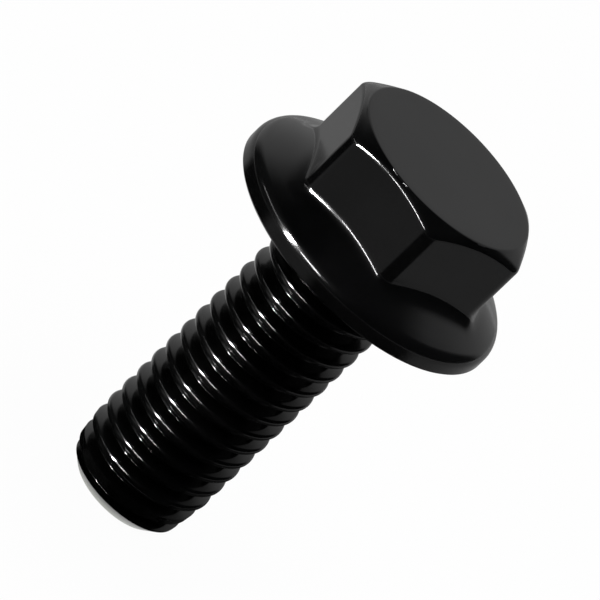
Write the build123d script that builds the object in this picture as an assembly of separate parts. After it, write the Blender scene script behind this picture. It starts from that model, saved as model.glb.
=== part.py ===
from build123d import *
import math
import os

# Flange bolt, one forged and thread-rolled piece. Millimetres, +Z towards the top of the head.
# The origin is the centre of the flange's bearing face, and the shank runs down from it.
# The shank is solid to the thread's crests; the turns of the thread are cut in the looks.

# ---- driving dimensions -------------------------------------------------------------------
thread_d = 8.0          # nominal thread diameter
pitch = 1.25            # coarse pitch of that diameter, right hand
shank_length = 20.8     # from the bearing face to the end of the shank
across_flats = 12.0     # hexagon
head_height = 7.0       # from the bearing face to the top of the head, flange included
flange_d = 17.6         # outer diameter of the flange
rim_height = 1.05       # straight outer band of the flange
flange_slope = 27.0     # rise of the flange's top towards the hexagon, degrees
crown_slope = 30.0      # chamfer of the hexagon's top corners, degrees
crown_ratio = 0.95      # diameter of the flat top over the width across flats

# ---- small rounds and clearances ----------------------------------------------------------
root_blend = 0.75       # forged radius between the flats and the flange
rim_round = 0.42        # rounded upper edge of the rim
rim_break = 0.15        # 45 degree break of the lower edge of the rim
crown_break = 0.12      # edge of the flat top
neck_round = 0.4        # under-head radius
neck_length = 1.3       # plain neck below the bearing face, where the thread runs out
neck_relief = 0.05      # how far the neck lies below the thread's root
end_margin = 0.25       # how far the flat end lies inside the thread's root

# ---- sizes that follow --------------------------------------------------------------------
major_r = thread_d / 2
flange_r = flange_d / 2
flat_r = across_flats / 2
corner_r = flat_r / math.cos(math.radians(30))
crown_r = flat_r * crown_ratio
flank = math.tan(math.radians(30))  # half angle of the thread, and of its run-out
thread_depth = 0.6134 * pitch      # crest to root of a 60 degree metric thread
root_r = major_r - thread_depth
neck_r = root_r - neck_relief
cone_rise = math.tan(math.radians(flange_slope))


def turned(points):
    """Solid of revolution from the (radius, height) points of its half section."""
    outline = make_face(Polyline([Vector(r, 0, z) for r, z in points], close=True))
    return revolve(outline, Axis.Z)


def flange():
    """The flange: flat bearing face, straight rim and a conical top that runs up under the flats."""
    peak = rim_height + flange_r * cone_rise
    body = turned([(0, 0), (flange_r, 0), (flange_r, rim_height), (0, peak)])
    return body


def hexagon():
    """The hexagon with its corners chamfered down to a round flat top."""
    flats = extrude(RegularPolygon(corner_r, 6, rotation=30), head_height)
    skirt = head_height - (corner_r * 1.2 - crown_r) * math.tan(math.radians(crown_slope))
    crown = turned([(0, 0), (corner_r * 1.2, 0), (corner_r * 1.2, skirt), (crown_r, head_height),
                    (0, head_height)])
    return flats & crown


def head():
    """Flange and hexagon joined, blended and rounded, with one pair of flats facing along Y."""
    blank = flange() + hexagon()
    on_cone = [edge for edge in blank.edges() if is_foot(edge)]
    blank = fillet(on_cone, root_blend)
    rims = [edge for edge in blank.edges() if is_rim(edge, rim_height)]
    blank = fillet(rims, rim_round)
    soles = [edge for edge in blank.edges() if is_rim(edge, 0)]
    blank = chamfer(soles, rim_break)
    tops = [edge for edge in blank.edges() if is_top(edge)]
    return Rot(0, 0, 30) * fillet(tops, crown_break)


def is_foot(edge):
    """True for the curves where the flats meet the cone of the flange."""
    middle = edge @ 0.5
    reach = math.hypot(middle.X, middle.Y)
    on_flange = abs(middle.Z - (rim_height + (flange_r - reach) * cone_rise)) < 0.01
    return on_flange and reach < corner_r + 0.01 and middle.Z > rim_height


def is_rim(edge, height):
    """True for the flange's outer edge at a height."""
    middle = edge @ 0.5
    return abs(middle.Z - height) < 0.01 and abs(math.hypot(middle.X, middle.Y) - flange_r) < 0.01


def is_top(edge):
    """True for the circle round the flat top."""
    return edge.bounding_box().min.Z > head_height - 0.01


def shank():
    """The shank at the thread's outer size, with its neck, its run-out and its chamfered end."""
    runout = neck_length + (major_r - neck_r) / flank
    end_r = root_r - end_margin
    return turned([(0, 0), (neck_r, 0), (neck_r, -neck_length), (major_r, -runout),
                   (major_r, major_r - end_r - shank_length), (end_r, -shank_length),
                   (0, -shank_length)])


def flange_bolt():
    """The whole bolt, with the small radius under the head."""
    bolt = head() + shank()
    throat = [edge for edge in bolt.edges() if is_throat(edge)]
    return fillet(throat, neck_round)


def is_throat(edge):
    """True for the circle where the neck meets the bearing face."""
    middle = edge @ 0.5
    return abs(middle.Z) < 0.01 and math.hypot(middle.X, middle.Y) < neck_r + 0.01


os.makedirs("parts", exist_ok=True)
export_step(flange_bolt(), "parts/flange_bolt.step")
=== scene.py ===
import logging
import math
from collections.abc import Callable
from dataclasses import dataclass
from enum import Enum

import bpy
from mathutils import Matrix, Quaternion, Vector


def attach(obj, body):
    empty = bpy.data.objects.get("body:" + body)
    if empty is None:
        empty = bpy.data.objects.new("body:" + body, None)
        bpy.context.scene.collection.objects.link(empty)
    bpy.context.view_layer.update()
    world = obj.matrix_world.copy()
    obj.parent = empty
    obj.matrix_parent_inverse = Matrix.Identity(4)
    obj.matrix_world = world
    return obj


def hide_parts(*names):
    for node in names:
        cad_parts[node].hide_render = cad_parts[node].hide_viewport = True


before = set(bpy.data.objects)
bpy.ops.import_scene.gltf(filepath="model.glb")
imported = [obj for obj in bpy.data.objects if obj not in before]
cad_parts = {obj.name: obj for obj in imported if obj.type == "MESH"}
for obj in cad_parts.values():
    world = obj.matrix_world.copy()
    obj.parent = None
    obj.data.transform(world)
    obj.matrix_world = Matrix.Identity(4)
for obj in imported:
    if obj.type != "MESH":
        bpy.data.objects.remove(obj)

LOG = logging.getLogger("flange_bolt")
MM = 0.001
MERGE = 0.0002 * MM
PLANE_SLACK = 0.0001
NODE = "flange_bolt"
Point = tuple[float, float]
Value = bpy.types.NodeSocket | float


class Surface(Enum):
    """The surfaces that a face of the bolt can have: the coating, or the pale metal of a painted
    reflection on its end.
    """

    COATING = 0
    # Pale metal on the end's downward faces, a painted reflection of the floor.
    BARE_END = 1


class LeavesOut(Enum):
    """The light that a lamp doesn't add, by the name of Blender's switch for it."""

    GLOSS = "visible_glossy"
    DIFFUSE = "visible_diffuse"


def deselect_all() -> None:
    """Leave nothing selected and no object active in edit mode."""
    if bpy.context.object and bpy.context.object.mode != "OBJECT":
        bpy.ops.object.mode_set(mode="OBJECT")
    bpy.ops.object.select_all(action="DESELECT")


def activate(piece: bpy.types.Object) -> None:
    """Make a piece the only selected object and the active one.

    Args:
        piece: The object to work on.
    """
    deselect_all()
    piece.select_set(True)
    bpy.context.view_layer.objects.active = piece


def bearing(azimuth: float, elevation: float) -> Vector:
    """Give the direction from the bolt towards a lamp or the camera.

    Args:
        azimuth: Degrees round the bolt from its front.
        elevation: Degrees above the horizon.

    Returns:
        The unit vector.
    """
    turn, rise = math.radians(azimuth), math.radians(elevation)
    return Vector(
        (math.sin(turn) * math.cos(rise), -math.cos(turn) * math.cos(rise), math.sin(rise))
    )


def select_where(piece: bpy.types.Object, keep: Callable[[Vector], bool]) -> int:
    """Select a piece's vertices by place, with everything else let go.

    Args:
        piece: The object whose mesh is selected.
        keep: Called with each vertex's place in millimetres; true keeps it.

    Returns:
        How many vertices are selected.
    """
    activate(piece)
    bpy.ops.object.mode_set(mode="EDIT")
    bpy.ops.mesh.select_mode(type="VERT")
    bpy.ops.mesh.select_all(action="DESELECT")
    bpy.ops.object.mode_set(mode="OBJECT")
    count = 0
    for vertex in piece.data.vertices:
        vertex.select = bool(keep(vertex.co / MM))
        count += vertex.select
    bpy.ops.object.mode_set(mode="EDIT")
    return count


def eased(corners: list[Point], rounds: list[float], steps: int) -> list[Point]:
    """Round the corners of an open outline.

    Args:
        corners: The outline's (radius, height) corners in millimetres.
        rounds: The radius at each corner; 0 leaves it sharp.
        steps: Segments in each rounded corner.

    Returns:
        The outline's points, with each rounded corner as a run of short segments.
    """
    points: list[Point] = []
    for index, (corner, radius) in enumerate(zip(corners, rounds)):
        if radius <= 0 or index in (0, len(corners) - 1):
            points.append(corner)
            continue
        here = Vector(corner)
        back = (Vector(corners[index - 1]) - here).normalized()
        ahead = (Vector(corners[index + 1]) - here).normalized()
        half = back.angle(ahead) / 2
        reach = radius / math.tan(half)
        centre = here + (back + ahead).normalized() * (radius / math.sin(half))
        start = here + back * reach - centre
        finish = here + ahead * reach - centre
        sweep = start.angle(finish)
        for step in range(steps + 1):
            share = step / steps
            turned = (
                start * math.sin((1 - share) * sweep) + finish * math.sin(share * sweep)
            ) / math.sin(sweep)
            points.append(tuple(centre + turned))
    return points


def outline_piece(name: str, points: list[Point]) -> bpy.types.Object:
    """Make an open chain of edges in the plane of the axis, ready to be turned.

    Args:
        name: The new object's name.
        points: (radius, height) points in millimetres.

    Returns:
        The chain, one vertex for each point.
    """
    deselect_all()
    bpy.ops.mesh.primitive_circle_add(vertices=len(points), radius=MM)
    chain = bpy.context.object
    chain.name = name
    for vertex, (radius, height) in zip(chain.data.vertices, points):
        vertex.co = (radius * MM, 0.0, height * MM)
    last = len(points) - 1
    activate(chain)
    bpy.ops.object.mode_set(mode="EDIT")
    bpy.ops.mesh.select_mode(type="EDGE")
    bpy.ops.mesh.select_all(action="DESELECT")
    bpy.ops.object.mode_set(mode="OBJECT")
    for edge in chain.data.edges:
        edge.select = set(edge.vertices) == {0, last}
    bpy.ops.object.mode_set(mode="EDIT")
    bpy.ops.mesh.delete(type="EDGE")
    bpy.ops.object.mode_set(mode="OBJECT")
    return chain


def wind(chain: bpy.types.Object, rise: float, turns: int, steps: int) -> None:
    """Turn a chain round the axis, as a lathe does or as a thread winds.

    Args:
        chain: The open chain of edges.
        rise: Millimetres along the axis for each turn; 0 turns a plain round.
        turns: How many turns to make.
        steps: Segments in each turn.
    """
    activate(chain)
    screw = chain.modifiers.new("wind", "SCREW")
    screw.axis = "Z"
    screw.angle = math.tau
    screw.screw_offset = rise * MM
    screw.iterations = turns
    screw.steps = steps
    screw.render_steps = steps
    screw.use_merge_vertices = False
    screw.use_smooth_shade = True
    bpy.ops.object.modifier_apply(modifier=screw.name)
    bpy.ops.object.mode_set(mode="EDIT")
    bpy.ops.mesh.select_all(action="SELECT")
    bpy.ops.mesh.remove_doubles(threshold=MERGE)
    bpy.ops.mesh.normals_make_consistent(inside=False)
    bpy.ops.object.mode_set(mode="OBJECT")


def finish_shading(piece: bpy.types.Object, crease: float) -> None:
    """Smooth a piece up to its sharp edges and let the large faces set the normals.

    Args:
        piece: The object to shade.
        crease: Edges that turn by more than this many degrees stay sharp.
    """
    activate(piece)
    bpy.ops.object.shade_smooth_by_angle(angle=math.radians(crease))
    weighted = piece.modifiers.new("weighted", "WEIGHTED_NORMAL")
    weighted.keep_sharp = True
    weighted.weight = 100
    bpy.ops.object.modifier_apply(modifier=weighted.name)


class Links:
    """A short hand for adding and joining the nodes of one tree."""

    def __init__(self, tree: bpy.types.NodeTree) -> None:
        """Keep the tree that the nodes go into."""
        self.tree = tree

    def add(self, kind: str, **values: object) -> bpy.types.Node:
        """Add a node and set its own properties.

        Args:
            kind: The node's type.
            **values: Properties of the node by name.

        Returns:
            The new node.
        """
        node = self.tree.nodes.new(kind)
        for key, value in values.items():
            setattr(node, key, value)
        return node

    def join(self, start: bpy.types.NodeSocket, end: bpy.types.NodeSocket) -> None:
        """Link an output to an input."""
        self.tree.links.new(start, end)

    def math(self, operation: str, first: Value, second: Value = 0.0) -> bpy.types.NodeSocket:
        """Add a Math node.

        Args:
            operation: The Math node's operation.
            first: A socket or a number.
            second: A socket or a number.

        Returns:
            The node's output.
        """
        node = self.add("ShaderNodeMath", operation=operation)
        for socket, value in zip(node.inputs, (first, second)):
            if isinstance(value, bpy.types.NodeSocket):
                self.join(value, socket)
            else:
                socket.default_value = value
        return node.outputs[0]

    def ramp(
        self, value: bpy.types.NodeSocket, low: float, high: float, start: float, end: float
    ) -> bpy.types.NodeSocket:
        """Map a range of values smoothly onto another.

        Args:
            value: The socket to map.
            low: Where the range starts.
            high: Where the range ends.
            start: The result at low.
            end: The result at high.

        Returns:
            The mapped output.
        """
        node = self.add("ShaderNodeMapRange", interpolation_type="SMOOTHSTEP")
        self.join(value, node.inputs["Value"])
        node.inputs["From Min"].default_value = low
        node.inputs["From Max"].default_value = high
        node.inputs["To Min"].default_value = start
        node.inputs["To Max"].default_value = end
        return node.outputs["Result"]


@dataclass(frozen=True)
class CoatRipple:
    """The slow ripple and fine tooth of a baked black coating, as one shared node group."""

    name: str = "coat ripple"
    patch_size: float = 170.0
    patch_detail: float = 3.0
    ripple_detail: float = 2.0
    tooth_detail: float = 4.0
    rough_band: Point = (0.35, 0.65)
    tone_band: Point = (0.3, 0.7)

    def build(self) -> bpy.types.NodeTree:
        """Make the group once.

        Returns:
            The node group, with its height, roughness and tone outputs.
        """
        tree = bpy.data.node_groups.new(self.name, "ShaderNodeTree")
        for label, value in (
            ("Ripple Size", 900.0),
            ("Tooth Size", 9000.0),
            ("Tooth Share", 0.2),
            ("Rough Low", 0.2),
            ("Rough High", 0.3),
        ):
            socket = tree.interface.new_socket(
                name=label, in_out="INPUT", socket_type="NodeSocketFloat"
            )
            socket.default_value = value
        for label in ("Height", "Roughness", "Tone"):
            tree.interface.new_socket(
                name=label, in_out="OUTPUT", socket_type="NodeSocketFloat"
            )
        links = Links(tree)
        given = links.add("NodeGroupInput").outputs
        result = links.add("NodeGroupOutput").inputs
        place = links.add("ShaderNodeTexCoord").outputs["Object"]
        ripple = links.add("ShaderNodeTexNoise")
        tooth = links.add("ShaderNodeTexNoise")
        patch = links.add("ShaderNodeTexNoise")
        for node, size in ((ripple, "Ripple Size"), (tooth, "Tooth Size")):
            links.join(place, node.inputs["Vector"])
            links.join(given[size], node.inputs["Scale"])
        links.join(place, patch.inputs["Vector"])
        patch.inputs["Scale"].default_value = self.patch_size
        patch.inputs["Detail"].default_value = self.patch_detail
        ripple.inputs["Detail"].default_value = self.ripple_detail
        tooth.inputs["Detail"].default_value = self.tooth_detail
        fine = links.math("MULTIPLY", tooth.outputs["Fac"], given["Tooth Share"])
        links.join(links.math("ADD", ripple.outputs["Fac"], fine), result["Height"])
        mixed = links.add("ShaderNodeMapRange", interpolation_type="SMOOTHSTEP")
        links.join(patch.outputs["Fac"], mixed.inputs["Value"])
        mixed.inputs["From Min"].default_value = self.rough_band[0]
        mixed.inputs["From Max"].default_value = self.rough_band[1]
        links.join(given["Rough Low"], mixed.inputs["To Min"])
        links.join(given["Rough High"], mixed.inputs["To Max"])
        links.join(mixed.outputs["Result"], result["Roughness"])
        links.join(links.ramp(patch.outputs["Fac"], *self.tone_band, 0.0, 1.0), result["Tone"])
        return tree


@dataclass(frozen=True)
class BlackCoating:
    """The glossy black coating over the whole bolt."""

    name: str = "black coating"
    deep: tuple[float, float, float] = (0.0014, 0.0015, 0.0016)
    worn: tuple[float, float, float] = (0.0036, 0.0037, 0.0039)
    gloss: float = 0.4
    rough_low: float = 0.11
    rough_high: float = 0.16
    relief: float = 0.0035
    relief_strength: float = 0.5

    def build(self, ripple: bpy.types.NodeTree) -> bpy.types.Material:
        """Make the coating.

        Args:
            ripple: The shared group of the coating's surface.

        Returns:
            The material.
        """
        material = bpy.data.materials.new(self.name)
        material.use_nodes = True
        links = Links(material.node_tree)
        shader = material.node_tree.nodes["Principled BSDF"]
        surface = links.add("ShaderNodeGroup", node_tree=ripple)
        surface.inputs["Rough Low"].default_value = self.rough_low
        surface.inputs["Rough High"].default_value = self.rough_high
        tone = links.add("ShaderNodeMix", data_type="RGBA")
        tone.inputs["A"].default_value = (*self.deep, 1.0)
        tone.inputs["B"].default_value = (*self.worn, 1.0)
        links.join(surface.outputs["Tone"], tone.inputs["Factor"])
        links.join(tone.outputs["Result"], shader.inputs["Base Color"])
        links.join(surface.outputs["Roughness"], shader.inputs["Roughness"])
        bump = links.add("ShaderNodeBump")
        bump.inputs["Strength"].default_value = self.relief_strength
        bump.inputs["Distance"].default_value = self.relief * MM
        links.join(surface.outputs["Height"], bump.inputs["Height"])
        links.join(bump.outputs["Normal"], shader.inputs["Normal"])
        shader.inputs["Specular IOR Level"].default_value = self.gloss
        return material


@dataclass(frozen=True)
class PaintedEndReflection:
    """The end of the shank, with pale metal on its downward faces as a painted reflection of the
    floor under it.
    """

    name: str = "painted end reflection"
    # Pale tint of the painted reflection of the floor on the end.
    reflection_tint: tuple[float, float, float] = (0.34, 0.35, 0.32)
    black: tuple[float, float, float] = (0.006, 0.006, 0.0065)
    lowest: float = -20.8
    fades_over: float = 1.0
    wander: float = 0.25
    ripple_size: float = 1400.0
    tooth_share: float = 0.6
    rough_low: float = 0.28
    rough_high: float = 0.42
    relief: float = 0.006
    relief_strength: float = 0.6

    def build(self, ripple: bpy.types.NodeTree) -> bpy.types.Material:
        """Make the pale metal of the painted reflection, which fades into the black up the
        chamfer.

        Args:
            ripple: The shared group of the coating's surface.

        Returns:
            The material.
        """
        material = bpy.data.materials.new(self.name)
        material.use_nodes = True
        links = Links(material.node_tree)
        shader = material.node_tree.nodes["Principled BSDF"]
        surface = links.add("ShaderNodeGroup", node_tree=ripple)
        surface.inputs["Ripple Size"].default_value = self.ripple_size
        surface.inputs["Tooth Share"].default_value = self.tooth_share
        surface.inputs["Rough Low"].default_value = self.rough_low
        surface.inputs["Rough High"].default_value = self.rough_high
        place = links.add("ShaderNodeTexCoord").outputs["Object"]
        split = links.add("ShaderNodeSeparateXYZ")
        links.join(place, split.inputs["Vector"])
        wander = links.math("MULTIPLY", surface.outputs["Tone"], self.wander * MM)
        level = links.math("ADD", split.outputs["Z"], wander)
        low = self.lowest * MM
        # Painted reflection: pale metal at the bottom end, fading into the black up the chamfer.
        painted_reflection = links.ramp(level, low, low + self.fades_over * MM, 1.0, 0.0)
        tone = links.add("ShaderNodeMix", data_type="RGBA")
        tone.inputs["A"].default_value = (*self.black, 1.0)
        tone.inputs["B"].default_value = (*self.reflection_tint, 1.0)
        links.join(painted_reflection, tone.inputs["Factor"])
        links.join(tone.outputs["Result"], shader.inputs["Base Color"])
        links.join(painted_reflection, shader.inputs["Metallic"])
        links.join(surface.outputs["Roughness"], shader.inputs["Roughness"])
        bump = links.add("ShaderNodeBump")
        bump.inputs["Strength"].default_value = self.relief_strength
        bump.inputs["Distance"].default_value = self.relief * MM
        links.join(surface.outputs["Height"], bump.inputs["Height"])
        links.join(bump.outputs["Normal"], shader.inputs["Normal"])
        return material


def soft_max(first: float, second: float, reach: float) -> float:
    """Give the larger of two lengths, with a smooth hollow where they cross.

    Args:
        first: One length.
        second: The other length.
        reach: How near they come before the hollow starts.

    Returns:
        The blended length, never below either.
    """
    near = max(reach - abs(first - second), 0.0) / reach
    return max(first, second) + near * near * reach / 4


def soft_min(first: float, second: float, reach: float) -> float:
    """Give the smaller of two lengths, with a smooth round where they cross.

    Args:
        first: One length.
        second: The other length.
        reach: How near they come before the round starts.

    Returns:
        The blended length, never above either.
    """
    return -soft_max(-first, -second, reach)


@dataclass
class ForgedHead:
    """The hexagon, the flange and the short neck, in millimetres and degrees."""

    flat_radius: float = 6.0
    corner_round: float = 1.0
    height: float = 7.0
    crown_radius: float = 5.72
    crown_slope: float = 30.0
    crown_reach: float = 0.5
    top_round: float = 0.16
    flange_radius: float = 8.8
    rim_height: float = 1.2
    rim_round: float = 0.9
    flange_slope: float = 27.0
    blend_reach: float = 0.95
    neck_radius: float = 3.1832
    neck_round: float = 0.4
    cut_height: float = -0.8
    sole_break: float = 0.15
    break_round: float = 0.06
    shoulder_reach: float = 1.1
    crown_band: float = 1.0
    crown_levels: int = 26
    top_rings: Point = (0.9, 0.5)
    fine_below: float = 3.6
    fine_step: float = 0.06
    coarse_step: float = 0.3
    round_steps: int = 7
    top_steps: int = 5
    steps: int = 720
    crease: float = 30.0

    def hexagon_radius(self, turn: float) -> float:
        """Give the hexagon's reach in one direction, with its long edges rounded.

        Args:
            turn: The direction round the axis in radians; a flat faces along -Y.

        Returns:
            The distance from the axis in millimetres.
        """
        sixth = math.pi / 3
        off_flat = (turn + sixth) % sixth - sixth / 2
        side = self.flat_radius - self.corner_round
        tangent = math.atan(side * math.tan(sixth / 2) / self.flat_radius)
        if abs(off_flat) <= tangent:
            return self.flat_radius / math.cos(off_flat)
        off_corner = sixth / 2 - abs(off_flat)
        middle = side / math.cos(sixth / 2)
        across = middle * math.sin(off_corner)
        return middle * math.cos(off_corner) + math.sqrt(self.corner_round**2 - across**2)

    def cone_radius(self, height: float) -> float:
        """Give the radius of the flange's conical top at a height."""
        rise = math.tan(math.radians(self.flange_slope))
        return self.flange_radius - (height - self.rim_height) / rise

    def shoulder_height(self) -> float:
        """Give the height at which the plain cone ends and the shaped part starts."""
        return self.rim_height + self.shoulder_reach * math.tan(math.radians(self.flange_slope))

    def top_edge(self) -> float:
        """Give the height at which the shaped part ends and the top's rounding starts."""
        return self.height - self.top_round / 2

    def crown_limit(self, height: float) -> float:
        """Give the radius of the crown's chamfer at a height."""
        slope = math.radians(self.crown_slope)
        return self.crown_radius + (self.height - height) / math.tan(slope)

    def blank_outline(self) -> list[Point]:
        """Give the half section of the blank that the hexagon is shaped from.

        Returns:
            (radius, height) points from the cut neck, round the flange, to the middle of the top.
        """
        corners = [
            (0.0, self.cut_height),
            (self.neck_radius, self.cut_height),
            (self.neck_radius, 0.0),
            (self.flange_radius - self.sole_break, 0.0),
            (self.flange_radius, self.sole_break),
            (self.flange_radius, self.rim_height),
            (self.flange_radius - self.shoulder_reach, self.shoulder_height()),
        ]
        rounds = [0, 0, self.neck_round, self.break_round, self.break_round, self.rim_round, 0]
        points = eased(corners, rounds, self.round_steps)
        level = points[-1][1]
        crown = self.height - self.crown_band
        while level < crown:
            level += self.fine_step if level < self.fine_below else self.coarse_step
            points.append((self.flat_radius, min(level, crown)))
        top = self.top_edge()
        for step in range(1, self.crown_levels + 1):
            share = step / self.crown_levels
            points.append((self.flat_radius, crown + (top - crown) * share))
        slope = math.radians(self.crown_slope)
        rim = [
            (self.crown_limit(top), top),
            (self.crown_radius, self.height),
            (self.crown_radius * self.top_rings[0], self.height),
        ]
        rounded = eased(rim, [0, self.top_round / math.tan(slope), 0], self.top_steps)
        points.extend(rounded[1:])
        inner = self.crown_radius * self.top_rings[1]
        points.extend([(inner, self.height), (0.0, self.height)])
        return points

    def shape(self, head: bpy.types.Object) -> None:
        """Press the turned blank to the hexagon, its crown and the blend into the flange.

        Args:
            head: The turned blank.
        """
        start, top = self.shoulder_height() + PLANE_SLACK, self.top_edge() + PLANE_SLACK
        for vertex in head.data.vertices:
            height = vertex.co.z / MM
            if height <= start or height > top:
                continue
            turn = math.atan2(vertex.co.y, vertex.co.x)
            radius = soft_max(
                self.hexagon_radius(turn), self.cone_radius(height), self.blend_reach
            )
            radius = soft_min(radius, self.crown_limit(height), self.crown_reach)
            vertex.co.x = radius * MM * math.cos(turn)
            vertex.co.y = radius * MM * math.sin(turn)

    def build(self) -> bpy.types.Object:
        """Turn the blank and shape it.

        Returns:
            The head, closed where the shank goes on.
        """
        head = outline_piece("forged_head", self.blank_outline())
        wind(head, 0.0, 1, self.steps)
        self.shape(head)
        finish_shading(head, self.crease)
        return head

    def dress(self, head: bpy.types.Object, coating: bpy.types.Material) -> None:
        """Give the head its coating.

        Args:
            head: The head.
            coating: The black coating.
        """
        head.data.materials.clear()
        head.data.materials.append(coating)


@dataclass
class RolledShank:
    """The threaded shank, in millimetres and degrees.

    A wound ridge is trimmed by the neck, the thread's run-out and the end chamfer.
    """

    major_radius: float = 4.0
    pitch: float = 1.25
    depth: float = 0.7668
    length: float = 20.8
    top: float = -0.8
    neck_radius: float = 3.1832
    neck_length: float = 1.3
    end_radius: float = 2.9832
    lead_radius: float = 3.7
    lead_length: float = 3.0
    crest_width: float = 0.33
    root_width: float = 0.15
    crest_round: float = 0.26
    root_round: float = 0.03
    corner_steps: int = 4
    steps: int = 96
    spare_turns: float = 1.5
    spare: float = 0.2
    runout_slope: float = 30.0
    envelope_steps: int = 128
    crease: float = 28.0
    facing_down: float = -0.6
    flat_slack: float = 0.01
    chamfer_slack: float = 0.03
    section_slack: float = 0.001

    def ridge_outline(self) -> list[Point]:
        """Give one pitch of the thread, from root to root.

        Returns:
            The (radius, height) points.
        """
        root = self.major_radius - self.depth
        crest = self.crest_width / 2
        foot = self.pitch / 2 - self.root_width / 2
        half = self.pitch / 2
        corners = [
            (root, -half),
            (root, -foot),
            (self.major_radius, -crest),
            (self.major_radius, crest),
            (root, foot),
            (root, half),
        ]
        rounds = [0, self.root_round, self.crest_round, self.crest_round, self.root_round, 0]
        return eased(corners, rounds, self.corner_steps)

    def thread(self) -> bpy.types.Object:
        """Wind the ridge from below the end to above the cut at the neck, and close its ends.

        Returns:
            The closed thread.
        """
        points = self.ridge_outline()
        bottom = -self.length - self.pitch * self.spare_turns
        raised = [(radius, height + bottom) for radius, height in points]
        chain = outline_piece("rolled_shank", raised)
        turns = math.ceil((self.length + self.pitch * self.spare_turns * 2) / self.pitch)
        wind(chain, self.pitch, turns, self.steps)
        ends = (bottom, bottom + turns * self.pitch)
        for level in ends:
            self.close_end(chain, level)
        activate(chain)
        bpy.ops.object.mode_set(mode="EDIT")
        bpy.ops.mesh.select_all(action="SELECT")
        bpy.ops.mesh.normals_make_consistent(inside=False)
        bpy.ops.object.mode_set(mode="OBJECT")
        return chain

    def close_end(self, chain: bpy.types.Object, level: float) -> None:
        """Cap one end of the wound ridge: first the ridge's own section, then the ramp.

        Args:
            chain: The wound ridge.
            level: Height of the middle of the open section in millimetres.
        """
        near = self.pitch / 2 + self.section_slack

        def on_section(place: Vector) -> bool:
            """Tell whether a vertex is on the open section, in the plane of the axis."""
            return abs(place.y) < PLANE_SLACK and place.x > 0 and abs(place.z - level) < near

        select_where(chain, on_section)
        bpy.ops.mesh.edge_face_add()
        bpy.ops.mesh.select_all(action="DESELECT")
        bpy.ops.mesh.select_mode(type="EDGE")
        bpy.ops.mesh.select_non_manifold(
            extend=False,
            use_wire=False,
            use_boundary=True,
            use_multi_face=False,
            use_non_contiguous=False,
            use_verts=False,
        )
        bpy.ops.object.mode_set(mode="OBJECT")
        vertices = chain.data.vertices
        for edge in chain.data.edges:
            middle = (vertices[edge.vertices[0]].co.z + vertices[edge.vertices[1]].co.z) / 2
            if abs(middle / MM - level) > near:
                edge.select = False
        bpy.ops.object.mode_set(mode="EDIT")
        bpy.ops.mesh.edge_face_add()
        bpy.ops.object.mode_set(mode="OBJECT")

    def envelope(self) -> bpy.types.Object:
        """Turn the shape that the thread is trimmed to.

        Returns:
            The closed envelope.
        """
        outer = self.major_radius + self.spare
        flank = math.tan(math.radians(self.runout_slope))
        rise = self.lead_radius - self.end_radius
        taper = (self.major_radius - self.lead_radius) / (self.lead_length - rise)
        lead = self.lead_length + (outer - self.major_radius) / taper
        fall = (outer - self.neck_radius) / flank
        points = [
            (0.0, -self.length),
            (self.end_radius, -self.length),
            (self.lead_radius, rise - self.length),
            (outer, lead - self.length),
            (outer, -self.neck_length - fall),
            (self.neck_radius, -self.neck_length),
            (self.neck_radius, self.top),
            (0.0, self.top),
        ]
        shape = outline_piece("shank_envelope", points)
        wind(shape, 0.0, 1, self.envelope_steps)
        return shape

    def build(self) -> bpy.types.Object:
        """Wind the thread and trim it.

        Returns:
            The shank.
        """
        shank = self.thread()
        envelope = self.envelope()
        activate(shank)
        trim = shank.modifiers.new("trim", "BOOLEAN")
        trim.operation = "INTERSECT"
        trim.solver = "EXACT"
        trim.object = envelope
        bpy.ops.object.modifier_apply(modifier=trim.name)
        bpy.data.objects.remove(envelope, do_unlink=True)
        finish_shading(shank, self.crease)
        return shank

    def dress(
        self, shank: bpy.types.Object, coating: bpy.types.Material, painted_end: bpy.types.Material
    ) -> None:
        """Coat the shank and give the downward faces of its end pale metal, a painted reflection
        of the floor.

        Args:
            shank: The threaded shank.
            coating: The black coating.
            painted_end: The pale metal of the painted reflection on the end.
        """
        shank.data.materials.clear()
        shank.data.materials.append(coating)
        shank.data.materials.append(painted_end)
        level = (self.major_radius - self.end_radius - self.length) * MM
        for face in shank.data.polygons:
            leans = face.normal.z < self.facing_down
            face.material_index = Surface.COATING.value
            # Downward faces at the bottom end get pale metal, a painted reflection of the floor.
            if leans and face.center.z < level and self.on_chamfer(face):
                face.material_index = Surface.BARE_END.value

    def on_chamfer(self, face: bpy.types.MeshPolygon) -> bool:
        """Tell whether a face lies on the end chamfer or the flat end.

        Args:
            face: A face of the shank.

        Returns:
            True where the pale metal of the painted reflection goes.
        """
        reach = math.hypot(face.center.x, face.center.y) / MM
        height = face.center.z / MM + self.length
        on_flat = height < self.flat_slack
        return on_flat or abs(reach - self.end_radius - height) < self.chamfer_slack


@dataclass(frozen=True)
class Lamp:
    """A rectangular lamp that faces the bolt, in millimetres, degrees and watts."""

    name: str
    azimuth: float
    elevation: float
    away: float
    size: Point
    power: float
    leaves_out: LeavesOut = LeavesOut.DIFFUSE
    aim_height: float = -6.0

    def hang(self) -> bpy.types.Object:
        """Place the lamp.

        Returns:
            The lamp.
        """
        data = bpy.data.lights.new(self.name, "AREA")
        data.shape = "RECTANGLE"
        data.size, data.size_y = self.size[0] * MM, self.size[1] * MM
        data.energy = self.power
        lamp = bpy.data.objects.new(self.name, data)
        bpy.context.scene.collection.objects.link(lamp)
        way = bearing(self.azimuth, self.elevation)
        lamp.location = way * self.away * MM + Vector((0, 0, self.aim_height * MM))
        lamp.rotation_mode = "QUATERNION"
        lamp.rotation_quaternion = (-way).to_track_quat("-Z", "Y")
        setattr(lamp, self.leaves_out.value, False)
        return lamp


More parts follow.
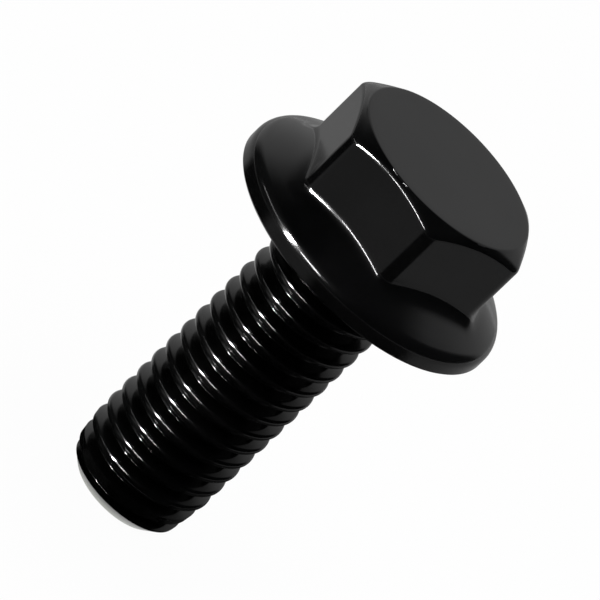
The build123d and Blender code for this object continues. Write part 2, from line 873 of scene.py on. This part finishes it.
@dataclass(frozen=True)
class GreyCard:
    """A card just above the floor that only the bolt's gloss sees, in millimetres and degrees.

    Its light turns over from the dark front to the paler back. Two wedges of it are nearly dark,
    and close to the bolt it is brighter, except on the right.
    """

    size: float = 1600.0
    lift: float = 0.3
    front: float = 0.28
    back: float = 0.36
    lean: float = -1.6
    turnover: Point = (-20.0, 50.0)
    right_edge: float = 46.0
    right_wedge: Point = (0.66, 0.8)
    left_edge: float = -74.0
    left_wedge: Point = (0.84, 0.94)
    wedge_share: float = 0.06
    close: Point = (30.0, 45.0)
    close_gain: float = 2.2
    shaded: Point = (-18.0, -2.0)
    shade: float = 0.95
    spot: Point = (3.7, 4.0)

    def ramp(
        self, links: Links, place: bpy.types.NodeSocket, band: Point, start: float, end: float
    ) -> bpy.types.NodeSocket:
        """Map a band of the card, given in millimetres, onto a range of light."""
        return links.ramp(place, band[0] * MM, band[1] * MM, start, end)

    def beside(
        self, links: Links, along: tuple[bpy.types.NodeSocket, ...], turn: float, band: Point
    ) -> bpy.types.NodeSocket:
        """Give the share of the card's light left beside a dark wedge.

        Args:
            links: The card's nodes.
            along: The place to the right, the place to the back and the distance from the axis.
            turn: The middle of the wedge, in degrees round the bolt from its front.
            band: The cosines between which the card darkens.

        Returns:
            1 outside the wedge and nearly 0 in it.
        """
        right, back, away = along
        middle = math.radians(turn)
        towards = links.math(
            "SUBTRACT",
            links.math("MULTIPLY", right, math.sin(middle)),
            links.math("MULTIPLY", back, math.cos(middle)),
        )
        return links.ramp(links.math("DIVIDE", towards, away), *band, 1.0, self.wedge_share)

    def light(self, links: Links) -> bpy.types.NodeSocket:
        """Work out how bright the card is at each place.

        Args:
            links: The card's nodes.

        Returns:
            The strength of its light.
        """
        place = links.add("ShaderNodeTexCoord").outputs["Object"]
        split = links.add("ShaderNodeSeparateXYZ")
        links.join(place, split.inputs["Vector"])
        right, back = split.outputs["X"], split.outputs["Y"]
        across = links.math("ADD", back, links.math("MULTIPLY", right, self.lean))
        level = self.ramp(links, across, self.turnover, self.front, self.back)
        squares = [links.math("POWER", side, 2.0) for side in (right, back)]
        away = links.math("SQRT", links.math("ADD", *squares))
        along = (right, back, away)
        wedges = links.math(
            "MULTIPLY",
            self.beside(links, along, self.right_edge, self.right_wedge),
            self.beside(links, along, self.left_edge, self.left_wedge),
        )
        near = self.ramp(links, away, self.close, 1.0, 0.0)
        gain = self.ramp(links, away, self.close, self.close_gain, 1.0)
        below = self.ramp(links, away, self.spot, 1.0, 0.0)
        right_side = self.ramp(links, right, self.shaded, 0.0, self.shade)
        under = links.math("SUBTRACT", 1.0, links.math("MULTIPLY", near, right_side))
        level = links.math("MULTIPLY", level, links.math("MULTIPLY", wedges, under))
        return links.math("ADD", links.math("MULTIPLY", level, gain), below)

    def lay(self, floor_level: float) -> bpy.types.Object:
        """Lay the card.

        Args:
            floor_level: Height of the floor in millimetres.

        Returns:
            The card.
        """
        deselect_all()
        bpy.ops.mesh.primitive_plane_add(
            size=self.size * MM, location=(0, 0, (floor_level + self.lift) * MM)
        )
        card = bpy.context.object
        card.name = "reflector"
        for kind in ("camera", "diffuse", "transmission", "volume_scatter", "shadow"):
            setattr(card, f"visible_{kind}", False)
        material = bpy.data.materials.new("grey card")
        material.use_nodes = True
        links = Links(material.node_tree)
        glow = links.add("ShaderNodeEmission")
        links.join(self.light(links), glow.inputs["Strength"])
        out = material.node_tree.nodes["Material Output"]
        links.join(glow.outputs["Emission"], out.inputs["Surface"])
        card.data.materials.append(material)
        return card


@dataclass(frozen=True)
class PaleFloor:
    """The floor under the end of the bolt, nearly plain white to the camera and in mirrors."""

    size: float = 6000.0
    color: float = 0.8
    roughness: float = 0.9
    white_share: float = 0.97

    def lay(self, level: float) -> bpy.types.Object:
        """Lay the floor.

        Args:
            level: Its height in millimetres.

        Returns:
            The floor.
        """
        deselect_all()
        bpy.ops.mesh.primitive_plane_add(size=self.size * MM, location=(0, 0, level * MM))
        floor = bpy.context.object
        floor.name = "floor"
        material = bpy.data.materials.new("pale floor")
        material.use_nodes = True
        links = Links(material.node_tree)
        shader = material.node_tree.nodes["Principled BSDF"]
        shader.inputs["Base Color"].default_value = (self.color, self.color, self.color, 1.0)
        shader.inputs["Roughness"].default_value = self.roughness
        shader.inputs["Specular IOR Level"].default_value = 0.0
        glow = links.add("ShaderNodeEmission")
        glow.inputs["Strength"].default_value = 1.0
        rays = links.add("ShaderNodeLightPath").outputs
        mirrored = links.math("MAXIMUM", rays["Is Glossy Ray"], rays["Is Transmission Ray"])
        seen = links.math("MAXIMUM", rays["Is Camera Ray"], mirrored)
        mix = links.add("ShaderNodeMixShader")
        links.join(links.math("MULTIPLY", seen, self.white_share), mix.inputs["Fac"])
        links.join(shader.outputs["BSDF"], mix.inputs[1])
        links.join(glow.outputs["Emission"], mix.inputs[2])
        out = material.node_tree.nodes["Material Output"]
        links.join(mix.outputs["Shader"], out.inputs["Surface"])
        floor.data.materials.append(material)
        return floor


@dataclass(frozen=True)
class Room:
    """The room's light: dark overhead and in front, grey towards the back wall."""

    front: float = 0.03
    back: float = 0.36
    back_band: Point = (0.3, 0.6)
    right_band: Point = (0.3, 0.5)
    right_share: float = 0.04
    left_band: Point = (-0.75, -0.35)
    left_gain: float = 1.45
    overhead: Point = (0.72, 0.94)

    def build(self) -> None:
        """Make the world."""
        world = bpy.data.worlds.new("studio")
        bpy.context.scene.world = world
        world.use_nodes = True
        links = Links(world.node_tree)
        way = links.add("ShaderNodeTexCoord").outputs["Generated"]
        split = links.add("ShaderNodeSeparateXYZ")
        links.join(way, split.inputs["Vector"])
        behind = links.ramp(split.outputs["Y"], *self.back_band, self.front, self.back)
        aside = links.ramp(split.outputs["X"], *self.right_band, 1.0, self.right_share)
        left = links.ramp(split.outputs["X"], *self.left_band, self.left_gain, 1.0)
        walls = links.math("MULTIPLY", behind, links.math("MULTIPLY", aside, left))
        overhead = links.ramp(split.outputs["Z"], *self.overhead, 1.0, 0.0)
        background = world.node_tree.nodes["Background"]
        background.inputs["Color"].default_value = (1.0, 1.0, 1.0, 1.0)
        links.join(links.math("MULTIPLY", walls, overhead), background.inputs["Strength"])


@dataclass
class Studio:
    """The camera, the floor, the card, the room and the lamps, in millimetres and degrees."""

    floor_level: float = -20.8
    azimuth: float = 14.1
    elevation: float = 24.8
    roll: float = 45.9
    distance: float = 400.0
    aim: tuple[float, float, float] = (-0.49, -0.12, -4.82)
    lens: float = 439.2
    lamps: tuple[Lamp, ...] = (
        Lamp("ceiling", 0.0, 89.0, 420.0, (500.0, 500.0), 2.2, LeavesOut.GLOSS),
        Lamp("front strip", -6.0, 28.0, 160.0, (50.0, 7.0), 0.14),
        Lamp("side strip", -53.0, 26.0, 170.0, (130.0, 5.0), 0.016),
        Lamp("spark", -29.0, 24.0, 150.0, (15.0, 60.0), 1.2),
    )

    def camera(self) -> bpy.types.Object:
        """Place the camera.

        Returns:
            The camera, already the scene's own.
        """
        data = bpy.data.cameras.new("camera")
        data.lens = self.lens
        data.clip_start = 0.01
        data.clip_end = 20.0
        camera = bpy.data.objects.new("camera", data)
        bpy.context.scene.collection.objects.link(camera)
        back = bearing(self.azimuth, self.elevation)
        camera.location = Vector(self.aim) * MM + back * self.distance * MM
        camera.rotation_mode = "QUATERNION"
        upright = (-back).to_track_quat("-Z", "Y")
        camera.rotation_quaternion = upright @ Quaternion(
            (0.0, 0.0, 1.0), math.radians(self.roll)
        )
        bpy.context.scene.camera = camera
        return camera

    def build(self) -> None:
        """Set the whole studio up."""
        self.camera()
        PaleFloor().lay(self.floor_level)
        GreyCard().lay(self.floor_level)
        Room().build()
        for lamp in self.lamps:
            lamp.hang()
        bpy.context.scene.view_settings.view_transform = "Standard"


def main() -> None:
    """Build the bolt and the studio in order."""
    logging.basicConfig(level=logging.INFO, format="%(name)s: %(message)s")
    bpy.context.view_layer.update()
    ripple = CoatRipple().build()
    coating = BlackCoating().build(ripple)
    # Pale metal for the painted reflection of the floor on the shank's end.
    painted_end = PaintedEndReflection().build(ripple)

    head_plan = ForgedHead()
    head = head_plan.build()
    head_plan.dress(head, coating)
    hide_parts(NODE)
    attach(head, "root")
    LOG.info("forged head: %d faces", len(head.data.polygons))

    shank_plan = RolledShank()
    shank = shank_plan.build()
    shank_plan.dress(shank, coating, painted_end)
    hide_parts(NODE)
    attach(shank, "root")
    LOG.info("rolled shank: %d faces", len(shank.data.polygons))

    Studio().build()


if __name__ == "__main__":
    main()
